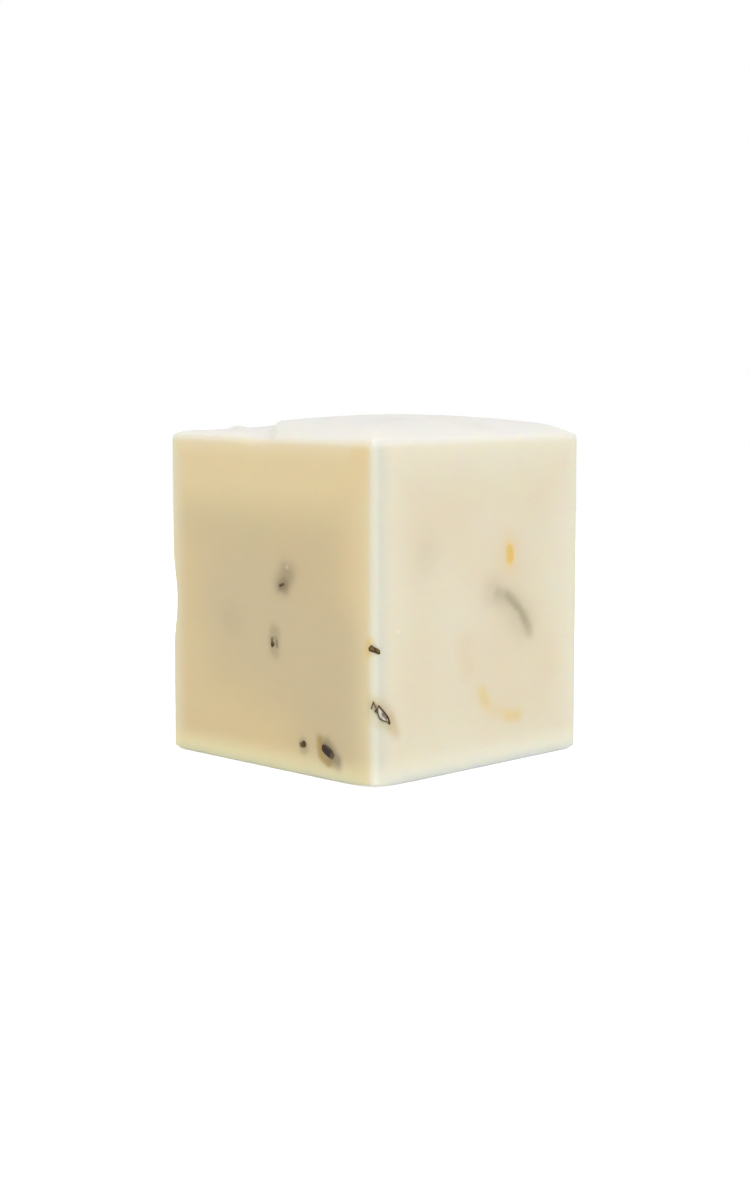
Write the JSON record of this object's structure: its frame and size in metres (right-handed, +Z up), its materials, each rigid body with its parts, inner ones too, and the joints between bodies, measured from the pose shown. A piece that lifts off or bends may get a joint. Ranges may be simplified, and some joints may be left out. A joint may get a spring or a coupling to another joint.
{
  "type": "bar of soap",
  "caption": "Square-cut upright block of pale translucent soap with a domed, poured top and dried buds, petals and stems cast through it.",
  "frame": {"origin": "middle of the flat base that the block stands on", "axes": "+Z up, -Y out of the front face and -X out of the left face; the near arris, which faces the camera in the picture, is where those two faces meet"},
  "size_m": [0.05, 0.05, 0.0587],
  "materials": {
    "soap": "satin, waxy and translucent",
    "dried_bud": "dry and fibrous",
    "dried_petal": "dry and papery",
    "dried_stem": "dry and fibrous",
    "seed": "dry and hard"
  },
  "bodies": {
    "root": {"soap_block": "soap", "left_bud_high": "dried_bud", "left_husk_end": "dried_bud", "left_seed": "seed", "left_bud_low": "dried_bud", "left_petal_low": "dried_petal", "left_bud_deep": "dried_bud", "arris_flake": "dried_bud", "arris_petal": "dried_petal", "arris_husk": "dried_bud", "front_petal_chip": "dried_petal", "front_curved_stem": "dried_stem", "front_bud_deep": "dried_bud", "front_petal_tan": "dried_petal", "front_petal_curled": "dried_petal", "front_petal_deep": "dried_petal", "top_bud_at_lip": "dried_bud", "top_bud_middle": "dried_bud", "top_bud_front": "dried_bud", "right_husk_end": "dried_bud", "right_petal_curled": "dried_petal", "right_bud_low": "dried_bud", "right_bud_deep": "dried_bud", "back_husk_cut": "dried_bud", "back_petal_chip": "dried_petal", "back_seed": "seed", "back_stem": "dried_stem", "base_bud": "dried_bud", "base_petal": "dried_petal"}
  },
  "joints": []
}
